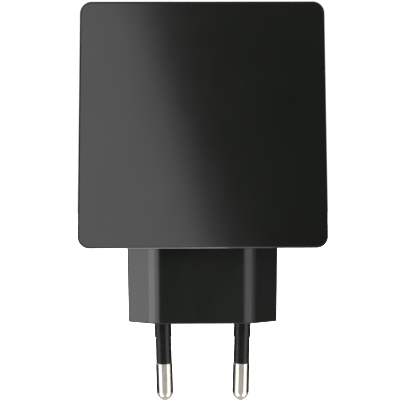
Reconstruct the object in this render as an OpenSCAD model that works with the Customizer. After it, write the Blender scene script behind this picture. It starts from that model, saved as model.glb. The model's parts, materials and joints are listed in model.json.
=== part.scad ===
// USB wall charger: a flat, slightly tapered case on a two-pin plug neck, with four USB-A ports
// Origin: centre of the plug's engagement face. The pins point to -Z, the ports to +Z, the plain front to -Y.

/* [Case] */
// Width of the case where it meets the plug neck
body_w = 57.2; // [57:0.2:60]
// Width of the case at the port end
body_w_top = 55.6; // [55.2:0.2:60]
// Height of the case, without the plug neck
body_h = 56.2; // [56:0.2:60]
// Depth of the case, front face to back face
body_t = 28; // [28:0.5:32]
// Radius of the four corners seen from the front
corner_r = 2.7; // [2.2:0.1:4]
// Radius of the edge round the front and back faces
edge_r = 0.5; // [0.3:0.1:0.9]
// Wall thickness of both covers
wall = 2; // [1.9:0.1:2.1]

/* [Plug neck] */
// Width of the neck at the engagement face
neck_w = 35.4; // [35:0.1:36]
// Thickness of the neck at the engagement face
neck_t = 13.7; // [13.4:0.1:14.4]
// Length of the neck outside the case
neck_h = 18; // [17.6:0.1:20]
// How much each side of the neck widens towards the case
neck_draft = 0.3; // [0.1:0.1:0.5]

/* [Pins] */
// Distance between the pin axes at the engagement face
pin_pitch = 19.05; // [18.6:0.05:19.2]
// Length of a pin below the engagement face
pin_length = 18.8; // [18.5:0.1:19.5]
// Length that the sleeve and its collar cover
pin_insulated = 10; // [9.5:0.1:11]
// Angle by which each pin leans in towards the other
pin_lean = 1.6; // [1.2:0.1:1.7]

/* [Ports] */
// Distance between neighbouring receptacles
port_pitch = 10.6; // [10.2:0.1:10.8]
// Depth of the port panel's face below the end of the case
panel_recess = 0.25; // [0.1:0.05:0.4]

/* [Hidden] */

$fn = 64;
arc_steps = 12;          // facets in each rounded corner of an outline
fillet_steps = 4;        // facets across the small edge rounding
past = 1;                // how far a cutter runs past a face
gap = 0.1;               // clearance between pieces that are assembled

case_z0 = neck_h;                    // shelf where the neck leaves the case
case_z1 = case_z0 + body_h;          // port end
floor_z = case_z0 + wall;
roof_z = case_z1 - wall;
front_y = -body_t / 2;
back_y = body_t / 2;

// Seam between the covers: a shadow gap outside, a tongue in a rebate inside
seam_inset = 0.25;
seam_half = 0.18;
tongue_h = 1.2;
tongue_t = 0.9;

// Neck outline: flat front and back, slanted cheeks, short sides
neck_flat = 11.3;        // half width of the flat, to the sharp corner
neck_side = 1.5;         // half height of the short side
neck_round = 6;          // rounding between flat and cheek
neck_side_r = 1;
neck_edge_r = 0.4;       // rounding round the engagement face
neck_wall = 1.8;
flange_w = 41;           // flange that the covers trap
flange_d = 19;
flange_t = 1.9;
flange_z = floor_z + 0.05;
shoulder_z = 3;          // seat of the pin shoulders in the neck's end wall
shoulder_h = 1.7;
retainer_z = shoulder_z + shoulder_h;
retainer_h = 2;

// Boards
board_t = 1.6;
board_y = 8.6;           // component side of the main board
board_z0 = floor_z + 4.5;
board_z1 = case_z1 - 12.2;
board_w = 49;
post_x = 22.8;           // pillars that hold the main board
post_z = [board_z0 + 2.3, board_z1 - 1.4];
deck_t = 1.6;
deck_z = case_z1 - 16.8; // underside of the USB board
deck_w = 49;
deck_y0 = -10.5;
rail_x = 24.9;           // rails at the ends of the USB board
tab_x = [-18, 0, 18];    // tabs of the USB board in the main board's slots
tab_w = 6;

// Pins: 4 mm of bare metal below the sleeve, a thinner core inside it
pin_d = 4;
pin_core_r = 1.5;
sleeve_r = [1.92, 1.88]; // the moulded sleeve tapers slightly: at its lower end, at its upper end
collar_r = [2.06, 2.02];
collar_l = 3.7;
collar_seat_r = 2.3;     // shallow seat in the engagement face round each collar
collar_seat_h = 0.4;
pin_shoulder_r = 2.5;
pin_shoulder_t = 1.43;
pin_tail_z = 11.5;
swing_gap = 0.12;        // room for the pin shoulder to tilt
bore_gap = 0.2;          // room round the pin in the neck's end wall
leaf_w = 3.4;            // sprung strip between a pin's tail and the board
leaf_t = 0.4;
leaf_z = board_z0 + 2.5;

// USB-A receptacles, standing on the USB board
port_count = 4;
shell_x = 5.7;
shell_y = 13.1;
shell_t = 0.3;
shell_z0 = deck_z + deck_t;
shell_z1 = case_z1 - panel_recess - 0.05;
tongue_top = shell_z1 - 2;
tongue_face = 0.06;      // contact side of the tongue, from the port's centre line
tongue_back = 1.9;
tongue_half = 5.75;
insulator_x = 2.5;       // half sizes of the moulded foot
insulator_y = 6.2;
insulator_top = shell_z0 + 4.3;
groove_w = 1.2;          // grooves in the tongue, one for each contact
groove_d = 0.75;
tail_x = 0.4;            // fixed contact tails, from the port's centre line
tail_half = [0.15, 0.3];
contact_y = [-3.5, -1, 1, 3.5];
contact_w = 0.95;
contact_t = 0.24;
contact_root = insulator_top + 0.1;
finger_y = 3.2;          // retention fingers cut into the shell's broad sides
finger_w = 1.8;
finger_l = 4.6;
finger_slit = 0.3;
finger_z = shell_z1 - 9.2;
port_x = [for (k = [0 : port_count - 1]) (k - (port_count - 1) / 2) * port_pitch];

panel_w = 45;
panel_d = 17;
panel_r = 2;
panel_lip = 1.2;

label_w = 40;
label_h = 33;
label_r = 2;
label_depth = 0.3;
label_z = case_z0 + body_h / 2;

// Component places on the main board: [x, z]
fuse_at = [-18.5, board_z0 + 6.7];
varistor_at = [-12, board_z0 + 8.5];
x_cap_at = [-4.75, board_z0 + 8];
bridge_at = [3, board_z0 + 4.3];
opto_at = [1.5, board_z0 + 10.8];
y_cap_at = [6.8, board_z0 + 10.6];
choke_at = [16.5, board_z0 + 7.3];
transformer_at = [-0.6, board_z0 + 23];
bulk_at = [[-18.5, board_z0 + 16.5], [-18.5, board_z0 + 26.7]];
output_at = [[15.5, board_z0 + 18.8], [15.5, board_z0 + 27.2]];
rectifier_at = [20.95, board_z0 + 22.2];
heat_sink_at = rectifier_at + [2, 0];
chip_at = [-5.6, board_z0 + 23];

// Sizes of the box-shaped components: width along x, height along z, how far it stands off the board
x_cap_size = [5.5, 12, 11];
bridge_size = [8, 5, 3.3];
opto_size = [4.6, 6.4, 3.5];
rectifier_size = [2.4, 9.6, 13];
heat_sink_size = [1.5, 11, 15];

choke_r = 6.2;
choke_hole = 2.9;
choke_h = 6;
choke_wire = 0.6;

core_size = [19.6, 14, 9];
core_limb = 2.8;
core_leg_r = 2.6;
coil_y = 9.4;            // from the board to the middle of the transformer
coil_l = 12;
bobbin_r = 3.2;
cheek_x = 6.5;           // middle of each bobbin cheek
cheek_t = 0.8;

// ---- outlines ---------------------------------------------------------------------------------

// Outward normal of the side that starts at corner i
function side_angle(pts, i) =
    let (a = pts[i], b = pts[(i + 1) % len(pts)]) atan2(b.y - a.y, b.x - a.x) - 90;

// One rounded corner of a convex outline that runs anticlockwise
function corner_arc(pts, i, r, inset) =
    let (
        start = side_angle(pts, (i + len(pts) - 1) % len(pts)),
        swing = (side_angle(pts, i) - start + 720) % 360,
        middle = start + swing / 2,
        centre = pts[i] - r / cos(swing / 2) * [cos(middle), sin(middle)]
    )
    [for (k = [0 : arc_steps])
        let (a = start + swing * k / arc_steps) centre + (r - inset) * [cos(a), sin(a)]];

function rounded(pts, radii, inset = 0) =
    [for (i = [0 : len(pts) - 1]) each corner_arc(pts, i, radii[i], inset)];

// The case seen from the front, x and z
function case_points(inset = 0) =
    let (b = body_w / 2, t = body_w_top / 2)
    rounded([[b, case_z0], [t, case_z1], [-t, case_z1], [-b, case_z0]],
        [for (i = [0 : 3]) corner_r], inset);

// The neck seen along the pins, x and y; grow moves every side out
function neck_points(grow = 0, inset = 0, big_r = neck_round, small_r = neck_side_r) =
    let (
        f = neck_flat + grow * 0.363,
        h = neck_t / 2 + grow,
        w = neck_w / 2 + grow,
        s = neck_side + grow * 0.467
    )
    rounded([[-f, -h], [f, -h], [w, -s], [w, s], [f, h], [-f, h], [-w, s], [-w, -s]],
        [big_r, big_r, small_r, small_r, big_r, big_r, small_r, small_r], inset);

module rounded_rectangle(w, h, r) {
    square([w - 2 * r, h], center = true);
    square([w, h - 2 * r], center = true);
    for (x = [-1, 1], y = [-1, 1])
        translate([x * (w / 2 - r), y * (h / 2 - r)]) circle(r);
}

// ---- helpers ----------------------------------------------------------------------------------

// A front-view outline, extruded in depth from y0 to y1
module depth(y0, y1) {
    translate([0, y1, 0]) rotate([90, 0, 0]) linear_extrude(y1 - y0) children();
}

module block(low, high) {
    translate(low) cube(high - low);
}

// A round part standing on the main board, pointing to the front
module standing(at) {
    translate([at.x, board_y, at.y]) rotate([90, 0, 0]) children();
}

// A box-shaped part standing on the main board
module board_box(at, size) {
    block([at.x - size.x / 2, board_y - size.z, at.y - size.y / 2],
          [at.x + size.x / 2, board_y, at.y + size.y / 2]);
}

// A coated disc standing on its edge on two leads
module board_disc(at, r, thickness) {
    translate([at.x - thickness / 2, board_y - r - 1.5, at.y]) rotate([0, 90, 0])
        cylinder(r = r, h = thickness);
    for (z = [-2.5, 2.5])
        translate([at.x, board_y, at.y + z]) rotate([90, 0, 0]) cylinder(r = 0.6, h = 3);
}

// A closed skin over rings of points that lie one above the other, each anticlockwise seen from the last
module loft(rings) {
    n = len(rings[0]);
    top = n * (len(rings) - 1);
    polyhedron(
        points = [for (ring = rings) each ring],
        faces = concat(
            [[for (i = [0 : n - 1]) i]],
            [for (j = [0 : n : top - n], i = [0 : n - 1])
                [j + i, j + n + i, j + n + (i + 1) % n, j + (i + 1) % n]],
            [[for (i = [n - 1 : -1 : 0]) top + i]]
        )
    );
}

// Steps round an edge of radius r as [inset, distance inside the face]; the last lies past the face
function edge_profile(r) =
    let (
        arc = [for (k = [0 : fillet_steps])
            let (a = 90 * k / fillet_steps) r * [1 - cos(a), 1 - sin(a)]],
        end = fillet_steps
    )
    [for (k = [0 : end]) k < end ? arc[k] : 2 * arc[end] - arc[end - 1]];

module at_pin(side) {
    translate([side * pin_pitch / 2, 0, 0]) rotate([0, side * pin_lean, 0]) children();
}

// ---- covers -----------------------------------------------------------------------------------

// One cover's outside, drawn for the front: its face lies at -y and its rim at the seam, y = 0
module cover_blank() {
    difference() {
        loft(concat(
            [[for (p = case_points()) [p.x, 0, p.y]]],
            [for (step = edge_profile(edge_r))
                [for (p = case_points(step[0])) [p.x, step[1] - body_t / 2, p.y]]]
        ));
        block([-body_w, -seam_half, case_z0 - past], [body_w, past, case_z1 + past]);
        block([-body_w, front_y - past, case_z0 - past], [body_w, front_y, case_z1 + past]);
    }
    depth(-edge_r - seam_half, 0) polygon(case_points(seam_inset));
}

// The room inside one cover, cut from a start past the seam
module cover_cavity(start) {
    depth(front_y + wall, start) polygon(case_points(wall));
}

// Openings for the neck in the floor and for the port panel in the roof
module cover_openings() {
    translate([0, 0, case_z0 - past]) linear_extrude(wall + past + 0.5)
        polygon(neck_points(neck_draft + gap));
    translate([0, 0, roof_z - past / 2]) linear_extrude(wall + past)
        rounded_rectangle(panel_w + 2 * gap, panel_d + 2 * gap, panel_r + gap);
}

// Ribs that trap the plug flange and the port panel
module cover_ribs() {
    flange_top = flange_z + flange_t;
    for (x = [-15, 15])
        block([x - 1.5, front_y + wall - 0.5, flange_top + gap], [x + 1.5, -6, flange_top + 2]);
    for (x = [-20.5, 20.5])
        block([x - 0.8, front_y + wall - 0.5, roof_z - panel_lip - 2.5],
              [x + 0.8, -8.8, roof_z - panel_lip - gap]);
}

// A round pillar from the cover's wall to a given depth, at both sides and both heights
module pillars(r, end_y) {
    for (x = [-post_x, post_x], z = post_z)
        translate([x, end_y, z]) rotate([90, 0, 0]) cylinder(r = r, h = end_y - front_y - wall + 0.5);
}

module front_cover() color([0.115, 0.12, 0.11]) {
    difference() {
        cover_blank();
        cover_cavity(past);
        depth(-tongue_h - gap, past) polygon(case_points(wall - tongue_t - gap));
        cover_openings();
    }
    cover_ribs();
    // pillars that hold the main board back
    pillars(1.3, board_y - 0.05);
    // rails that carry the USB board
    for (x = [-rail_x, rail_x], z = [deck_z - 1.4, deck_z + deck_t + 0.05])
        block([x - 1.1, front_y + wall - 0.5, z], [x + 1.1, -3, z + 1.35]);
}

module rear_cover() color([0.105, 0.11, 0.1]) mirror([0, 1, 0]) {
    difference() {
        union() {
            cover_blank();
            depth(-tongue_h, tongue_h) polygon(case_points(wall - tongue_t));
        }
        cover_cavity(tongue_h + past);
        cover_openings();
        // shallow pocket for the label
        translate([0, 0, label_z]) depth(front_y - past, front_y + label_depth)
            rounded_rectangle(label_w + 2 * gap, label_h + 2 * gap, label_r + gap);
    }
    cover_ribs();
    pillars(1.6, -board_y - board_t - 0.02);
}

module port_panel() color([0.06, 0.06, 0.065]) {
    face_z = case_z1 - panel_recess;
    difference() {
        union() {
            translate([0, 0, roof_z - gap]) linear_extrude(face_z - roof_z + gap)
                rounded_rectangle(panel_w, panel_d, panel_r);
            translate([0, 0, roof_z - panel_lip]) linear_extrude(panel_lip - 0.05)
                rounded_rectangle(panel_w + 2.6, panel_d + 2.2, panel_r);
        }
        for (x = port_x)
            translate([x, 0, roof_z - panel_lip - past]) linear_extrude(wall + panel_lip + 2 * past)
                rounded_rectangle(shell_x + 0.24, shell_y + 0.24, 0.72);
        translate([0, 0, roof_z - panel_lip - past]) cylinder(r = 1.1, h = wall + panel_lip + 2 * past);
    }
}

module light_pipe() color([0.85, 0.88, 0.9]) {
    top = case_z1 - panel_recess - 0.05;
    translate([0, 0, shell_z0 + 1.6]) cylinder(r = 1, h = top - shell_z0 - 1.6);
    translate([0, 0, roof_z - panel_lip - 1.05]) cylinder(r = 1.5, h = 1);
}

module rating_label() color([0.16, 0.16, 0.17]) {
    translate([0, 0, label_z]) depth(back_y - label_depth, back_y - 0.06)
        rounded_rectangle(label_w, label_h, label_r);
}

// ---- plug -------------------------------------------------------------------------------------

// The neck's outside, from the rounded edge of the engagement face to just inside the flange
module neck_blank(top_z) difference() {
    loft(concat(
        [for (k = [fillet_steps : -1 : 0]) let (step = edge_profile(neck_edge_r)[k])
            [for (p = neck_points(0, step[0])) [p.x, p.y, step[1]]]],
        [[for (p = neck_points(neck_draft)) [p.x, p.y, top_z]]]
    ));
    block([-neck_w, -neck_t, -past], [neck_w, neck_t, 0]);
}

module plug_block() color([0.115, 0.12, 0.11]) {
    difference() {
        union() {
            neck_blank(flange_z + flange_t / 2);
            translate([0, 0, flange_z]) linear_extrude(flange_t)
                rounded_rectangle(flange_w, flange_d, 3);
        }
        translate([0, 0, retainer_z]) linear_extrude(floor_z + flange_t)
            polygon(neck_points(-neck_wall, 0, 4, 0.5));
        for (side = [-1, 1]) at_pin(side) {
            translate([0, 0, -past]) cylinder(r = collar_seat_r, h = collar_seat_h + past);
            translate([0, 0, -past]) cylinder(r = pin_core_r + bore_gap, h = retainer_z + 2 * past);
            translate([0, 0, shoulder_z]) cylinder(r = pin_shoulder_r + bore_gap, h = shoulder_h + past);
        }
    }
}

module pin_retainer() color([0.8, 0.78, 0.7]) {
    difference() {
        translate([0, 0, retainer_z]) linear_extrude(retainer_h)
            polygon(neck_points(-neck_wall - gap, 0, 4, 0.5));
        for (side = [-1, 1])
            at_pin(side) cylinder(r = pin_core_r + 2 * bore_gap, h = retainer_z + 2 * retainer_h);
    }
}

module pin(side) color([0.83, 0.82, 0.78]) at_pin(side) {
    tip_r = pin_d / 2;
    translate([0, 0, tip_r - pin_length]) {
        sphere(tip_r);
        cylinder(r = tip_r, h = pin_length - tip_r - pin_insulated);
        cylinder(r = pin_core_r, h = pin_length - tip_r + pin_tail_z);
    }
    translate([0, 0, shoulder_z + swing_gap]) cylinder(r = pin_shoulder_r, h = pin_shoulder_t);
}

module pin_sleeve(side) color([0.12, 0.12, 0.115]) at_pin(side) difference() {
    top = collar_seat_h - gap;
    union() {
        translate([0, 0, -pin_insulated])
            cylinder(r1 = sleeve_r[0], r2 = sleeve_r[1], h = pin_insulated + top);
        translate([0, 0, -collar_l]) cylinder(r1 = collar_r[0], r2 = collar_r[1], h = collar_l + top);
    }
    translate([0, 0, -pin_insulated - past]) cylinder(r = pin_core_r, h = pin_insulated + 2 * past);
}

// Sprung strip that carries the mains from a pin's tail to the main board
module contact_leaf(side) color([0.78, 0.62, 0.32]) {
    y = pin_core_r + gap;
    end_y = board_y + board_t + 0.6;
    translate([side * pin_pitch / 2 - leaf_w / 2, 0, 0]) rotate([90, 0, 90]) linear_extrude(leaf_w)
        polygon([
            [end_y, leaf_z + leaf_t], [y + 4.2, leaf_z + leaf_t], [y, leaf_z - 3.8], [y, pin_tail_z - 3.5],
            [y + leaf_t, pin_tail_z - 3.5], [y + leaf_t, leaf_z - 4], [y + 4.4, leaf_z], [end_y, leaf_z]
        ]);
}

// ---- main board -------------------------------------------------------------------------------

module main_board() color([0.05, 0.32, 0.16]) difference() {
    block([-board_w / 2, board_y, board_z0], [board_w / 2, board_y + board_t, board_z1]);
    for (x = tab_x)
        block([x - tab_w / 2 - 0.1, board_y - past, deck_z - 0.1],
              [x + tab_w / 2 + 0.1, board_y + board_t + past, deck_z + deck_t + 0.1]);
    for (x = [-pin_pitch / 2, pin_pitch / 2])
        block([x - leaf_w / 2 - gap, board_y - past, leaf_z - gap],
              [x + leaf_w / 2 + gap, board_y + board_t + past, leaf_z + leaf_t + gap]);
}

// Two leads beside a component's centre, spread along x or z
function leads(at, dx, dz) = [for (s = [-1, 1]) [at.x + s * dx, at.y + s * dz]];

lead_points = concat(
    leads(fuse_at, 2.5, 0), leads(varistor_at, 0, 2.5), leads(x_cap_at, 0, 5),
    leads(bridge_at, 3, 1.5), leads(bridge_at, 3, -1.5),
    leads(opto_at, 1.3, 2.6), leads(opto_at, 1.3, -2.6), leads(y_cap_at, 0, 2.5),
    leads(choke_at, 4, 3), leads(choke_at, 4, -3),
    leads(bulk_at[0], 2.5, 0), leads(bulk_at[1], 2.5, 0),
    leads(output_at[0], 1.8, 0), leads(output_at[1], 1.8, 0),
    [for (x = [-7.5, -2.5, 2.5, 7.5], z = [-6.5, 6.5]) transformer_at + [x, z]],
    leads(rectifier_at, 0, 2.6)
);

module solder_joints() color([0.72, 0.73, 0.75])
    for (p = lead_points)
        translate([p.x, board_y + board_t, p.y]) rotate([-90, 0, 0])
            cylinder(r1 = 0.9, r2 = 0.35, h = 0.9);

module fuse() color([0.16, 0.15, 0.15]) standing(fuse_at) {
    translate([0, 0, 0.4]) cylinder(r = 4, h = 7.4);
    for (x = [-2.5, 2.5]) translate([x, 0, 0]) cylinder(r = 0.7, h = 0.5);
}

module varistor() color([0.1, 0.25, 0.5]) board_disc(varistor_at, 4.5, 3.6);

module x_capacitor() color([0.85, 0.72, 0.2]) board_box(x_cap_at, x_cap_size);

// Ring core; its two windings wrap round it, one on each side
module choke_core() color([0.2, 0.35, 0.2]) standing(choke_at) rotate_extrude()
    translate([choke_hole + choke_wire + 0.05, choke_wire + 0.1])
        square([choke_r - choke_hole - 2 * choke_wire - 0.1, choke_h - 2 * choke_wire - 0.1]);

module choke_windings() color([0.72, 0.38, 0.16]) standing(choke_at)
    for (start = [-60, 120]) rotate([0, 0, start]) rotate_extrude(angle = 120)
        translate([choke_hole, 0.05]) difference() {
            square([choke_r - choke_hole, choke_h]);
            translate([choke_wire, choke_wire])
                square([choke_r - choke_hole - 2 * choke_wire, choke_h - 2 * choke_wire]);
        }

module bridge_rectifier() color([0.13, 0.13, 0.13]) board_box(bridge_at, bridge_size);

module optocoupler() color([0.86, 0.85, 0.8]) board_box(opto_at, opto_size);

module y_capacitor() color([0.12, 0.3, 0.62]) board_disc(y_cap_at, 3.6, 3.2);

// An electrolytic can with its rolled groove near the base
module can(at, r, h, colour) color(colour) standing(at) rotate_extrude() polygon([
    [0, 0], [r - 0.3, 0], [r, 0.4], [r, 1.6], [r - 0.4, 2], [r, 2.4],
    [r, h - 0.5], [r - 0.5, h], [r - 1.1, h], [r - 1.3, h - 0.25], [0, h - 0.25]
]);

// The transformer's own frame: its middle, with the coil along x and the board at y = coil_y
module at_transformer() {
    translate([transformer_at.x, board_y - coil_y, transformer_at.y]) children();
}

// A round rod or tube cutter along x, centred
module along_x(r, length) {
    rotate([0, 90, 0]) cylinder(r = r, h = length, center = true);
}

module transformer_core() color([0.18, 0.18, 0.19]) at_transformer() {
    window = core_size - [2 * core_limb, 2 * core_limb, -2 * past];
    difference() {
        cube(core_size, center = true);
        cube(window, center = true);
    }
    along_x(core_leg_r, window.x);
}

module transformer_bobbin() color([0.1, 0.1, 0.1]) at_transformer() {
    difference() {
        union() {
            along_x(bobbin_r, 2 * cheek_x + cheek_t);
            for (x = [-cheek_x, cheek_x])
                block([x - cheek_t / 2, -4, -8.2], [x + cheek_t / 2, 4, 8.2]);
        }
        along_x(core_leg_r + 0.05, core_size.x);
    }
    // pin blocks on the board, one each side of the core, and the webs up to the cheeks
    for (z = [-6.5, 6.5]) {
        block([-8.6, coil_y - 2.3, z - 2], [8.6, coil_y, z + 2]);
        for (x = [-cheek_x, cheek_x])
            block([x - cheek_t / 2, 3.6, z - 1.7], [x + cheek_t / 2, coil_y - 2, z + 1.7]);
    }
}

module transformer_winding() color([0.9, 0.76, 0.25]) at_transformer() difference() {
    rotate([0, 90, 0]) linear_extrude(coil_l, center = true) rounded_rectangle(15.4, 7.9, 2.4);
    along_x(bobbin_r + 0.05, coil_l + past);
}

module controller_chip() color([0.08, 0.08, 0.08])
    block([chip_at.x - 2.5, board_y + board_t, chip_at.y - 2],
          [chip_at.x + 2.5, board_y + board_t + 1.4, chip_at.y + 2]);

// Folded sheet between the mains side and the low-voltage side
module insulation_barrier() color([0.9, 0.88, 0.78]) {
    x = 10;
    z = choke_at.y + choke_r + 0.35;
    sheet_t = 0.4;
    block([x, -9, z], [deck_w / 2 - gap, board_y - 0.05, z + sheet_t]);
    block([x, -9, z], [x + sheet_t, board_y - 0.05, deck_z - 0.6]);
}

module output_rectifier() color([0.1, 0.1, 0.1]) board_box(rectifier_at, rectifier_size);

module heat_sink() color([0.7, 0.71, 0.73]) board_box(heat_sink_at, heat_sink_size);

// ---- USB board --------------------------------------------------------------------------------

// The fixed tails of all contacts, with clearance round them when they are cut out of something
module contact_tails(low_z, high_z, clearance = 0)
    for (x = port_x, y = contact_y) translate([x + tail_x, y, 0])
        block([-tail_half.x - clearance, -tail_half.y - clearance, low_z],
              [tail_half.x + clearance, tail_half.y + clearance, high_z]);

module usb_board() color([0.05, 0.3, 0.15]) difference() {
    union() {
        block([-deck_w / 2, deck_y0, deck_z], [deck_w / 2, board_y - 0.1, deck_z + deck_t]);
        for (x = tab_x)
            block([x - tab_w / 2, board_y - 0.5, deck_z],
                  [x + tab_w / 2, board_y + board_t + 0.3, deck_z + deck_t]);
    }
    contact_tails(deck_z - past, deck_z + deck_t + past, gap);
}

module usb_contact_tails() color([0.85, 0.7, 0.35]) contact_tails(deck_z - 0.8, insulator_top);

module charge_chips() color([0.08, 0.08, 0.08])
    for (x = [-1, 1])
        block([x * port_pitch - 1.95, -2.5, shell_z0], [x * port_pitch + 1.95, 2.5, shell_z0 + 1.5]);

module status_led() color([0.9, 0.9, 0.85])
    block([-1, -0.8, shell_z0], [1, 0.8, shell_z0 + 1.1]);

// Folded steel shell: a thin tube whose broad sides carry two cut-out retention fingers each
module usb_shell(k) color([0.75, 0.76, 0.78]) translate([port_x[k - 1], 0, 0]) difference() {
    translate([0, 0, shell_z0]) linear_extrude(shell_z1 - shell_z0)
        rounded_rectangle(shell_x, shell_y, 0.6);
    translate([0, 0, shell_z0 - past]) linear_extrude(shell_z1 - shell_z0 + 2 * past)
        rounded_rectangle(shell_x - 2 * shell_t, shell_y - 2 * shell_t, 0.3);
    for (y = [-finger_y, finger_y]) {
        for (edge = [-finger_w / 2, finger_w / 2])
            block([-shell_x, y + edge - finger_slit / 2, finger_z],
                  [shell_x, y + edge + finger_slit / 2, finger_z + finger_l]);
        block([-shell_x, y - finger_w / 2, finger_z], [shell_x, y + finger_w / 2, finger_z + finger_slit]);
    }
}

// Moulded block in the foot of the shell, with the grooved tongue that carries the contacts
module usb_insulator(k) color([0.93, 0.93, 0.92]) difference() {
    translate([port_x[k - 1], 0, 0]) difference() {
        union() {
            block([-insulator_x, -insulator_y, shell_z0], [insulator_x, insulator_y, insulator_top]);
            block([tongue_face, -tongue_half, insulator_top], [tongue_back, tongue_half, tongue_top]);
        }
        for (y = contact_y)
            block([-past, y - groove_w / 2, insulator_top],
                  [tongue_face + groove_d, y + groove_w / 2, tongue_top - 0.35]);
    }
    contact_tails(shell_z0 - past, insulator_top + past, 0.01);
}

// Four sprung beams, bowed out of the tongue's grooves near its end
module usb_contacts(k) color([0.87, 0.72, 0.34]) translate([port_x[k - 1], 0, 0]) {
    root_x = 0.28;
    bow_x = -0.01;
    bow_z = tongue_top - 2.3;
    end_z = tongue_top - 0.6;
    for (y = contact_y) translate([0, y + contact_w / 2, 0]) rotate([90, 0, 0]) linear_extrude(contact_w)
        polygon([
            [root_x, contact_root], [root_x + contact_t, contact_root], [bow_x, bow_z],
            [root_x, end_z], [root_x - contact_t, end_z], [bow_x - contact_t, bow_z]
        ]);
}

// ---- what is drawn ----------------------------------------------------------------------------

front_cover();
rear_cover();
port_panel();
light_pipe();
rating_label();
plug_block();
pin_retainer();
pin(-1);  // pin_left
pin(1);  // pin_right
pin_sleeve(-1);  // pin_sleeve_left
pin_sleeve(1);  // pin_sleeve_right
contact_leaf(-1);  // contact_leaf_left
contact_leaf(1);  // contact_leaf_right
main_board();
solder_joints();
fuse();
varistor();
x_capacitor();
choke_core();
choke_windings();
bridge_rectifier();
can(bulk_at[0], 4.9, 17, [0.12, 0.13, 0.16]);  // bulk_capacitor_1
can(bulk_at[1], 4.9, 17, [0.12, 0.13, 0.16]);  // bulk_capacitor_2
transformer_core();
transformer_bobbin();
transformer_winding();
controller_chip();
y_capacitor();
optocoupler();
insulation_barrier();
output_rectifier();
heat_sink();
can(output_at[0], 4, 12, [0.75, 0.76, 0.78]);  // output_capacitor_1
can(output_at[1], 4, 12, [0.75, 0.76, 0.78]);  // output_capacitor_2
usb_board();
usb_contact_tails();
charge_chips();
status_led();
for (k = [1 : port_count]) {
    usb_shell(k);
    usb_insulator(k);
    usb_contacts(k);
}
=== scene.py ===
"""Looks of the USB wall charger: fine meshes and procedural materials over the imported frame.

Millimetres in the size block and in outlines; everything is made in metres, in the frame of the CAD.
Origin: centre of the plug's engagement face. Pins to -Z, ports to +Z, plain front to -Y.
"""
import json
import math

import bmesh
import bpy
from mathutils import Matrix, Vector


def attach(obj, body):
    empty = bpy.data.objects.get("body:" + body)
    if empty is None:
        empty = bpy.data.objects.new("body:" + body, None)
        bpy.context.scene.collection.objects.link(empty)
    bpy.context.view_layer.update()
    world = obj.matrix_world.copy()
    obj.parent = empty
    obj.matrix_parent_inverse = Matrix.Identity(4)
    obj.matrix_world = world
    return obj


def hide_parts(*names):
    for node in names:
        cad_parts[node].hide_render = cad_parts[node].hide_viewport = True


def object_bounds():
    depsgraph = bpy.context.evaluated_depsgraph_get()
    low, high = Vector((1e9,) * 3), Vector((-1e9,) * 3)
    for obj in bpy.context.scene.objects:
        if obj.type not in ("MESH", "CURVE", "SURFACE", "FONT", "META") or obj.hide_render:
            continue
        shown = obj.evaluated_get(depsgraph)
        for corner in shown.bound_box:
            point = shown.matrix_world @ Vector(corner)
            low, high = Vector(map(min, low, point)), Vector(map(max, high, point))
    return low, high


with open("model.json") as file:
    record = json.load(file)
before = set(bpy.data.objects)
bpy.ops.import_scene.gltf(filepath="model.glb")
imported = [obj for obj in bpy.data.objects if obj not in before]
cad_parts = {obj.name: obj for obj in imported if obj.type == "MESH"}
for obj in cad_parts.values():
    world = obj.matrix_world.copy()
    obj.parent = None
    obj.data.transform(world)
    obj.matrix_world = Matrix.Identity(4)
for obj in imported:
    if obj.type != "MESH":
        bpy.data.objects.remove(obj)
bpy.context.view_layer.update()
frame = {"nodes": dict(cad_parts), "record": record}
scene = bpy.context.scene
MM = 0.001

# ---- sizes: the part's, as in its source, and those of its finer edges --------------------------

CASE_Z0, CASE_Z1 = 18.0, 74.2
CASE_W, CASE_W_TOP = 57.2, 55.6
FRONT_Y, BACK_Y = -14.0, 14.0
CORNER_R, EDGE_R, WALL = 2.7, 0.5, 2.0
ROOF_Z = CASE_Z1 - WALL
SEAM_INSET, SEAM_HALF, SEAM_EASE = 0.25, 0.18, 0.1
TONGUE_H, TONGUE_T, GAP = 1.2, 0.9, 0.1
ROOT_DEPTH = 0.5  # how far what stands on the inside of a wall reaches into it

NECK_W, NECK_T, NECK_DRAFT = 35.4, 13.7, 0.3
NECK_FLAT, NECK_SIDE = 11.3, 1.5
NECK_CORNER_SHIFT = (0.363, 0.467)  # how far the corners travel along X and Y as each side moves out by 1
NECK_ROUND, NECK_SIDE_R, NECK_EDGE_R, NECK_WALL = 6.0, 1.0, 0.4, 1.8
NECK_ROOM_R = (4.0, 0.5)  # corners of the room inside, in place of NECK_ROUND and NECK_SIDE_R
FLANGE, FLANGE_R = (41.0, 19.0, 1.9), 3.0
FLANGE_Z = 20.05
FLANGE_TOP = FLANGE_Z + FLANGE[2]
SHOULDER_Z, SHOULDER_H = 3.0, 1.7
RETAINER_Z = SHOULDER_Z + SHOULDER_H

PIN_PITCH, PIN_LENGTH, PIN_INSULATED, PIN_LEAN = 19.05, 18.8, 10.0, 1.6
PIN_R, PIN_CORE_R, PIN_SHOULDER_R = 2.0, 1.5, 2.5
PIN_SHOULDER = (3.12, 4.55)
PIN_TAIL_Z = 11.5
PIN_EASE, SHOULDER_EASE, TAIL_EASE = 0.06, 0.1, 0.2
SLEEVE_R, COLLAR_R, COLLAR_L = (1.92, 1.88), (2.06, 2.02), 3.7
SLEEVE_EASE = 0.05
COLLAR_EDGE = ((0.06, 0.0), (0.01, 0.04), (0.0, 0.1))  # in from its side, up from its lower end
COLLAR_SEAT_R, COLLAR_SEAT_H, SEAT_LIP, BORE_GAP = 2.3, 0.4, 0.12, 0.2

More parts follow.
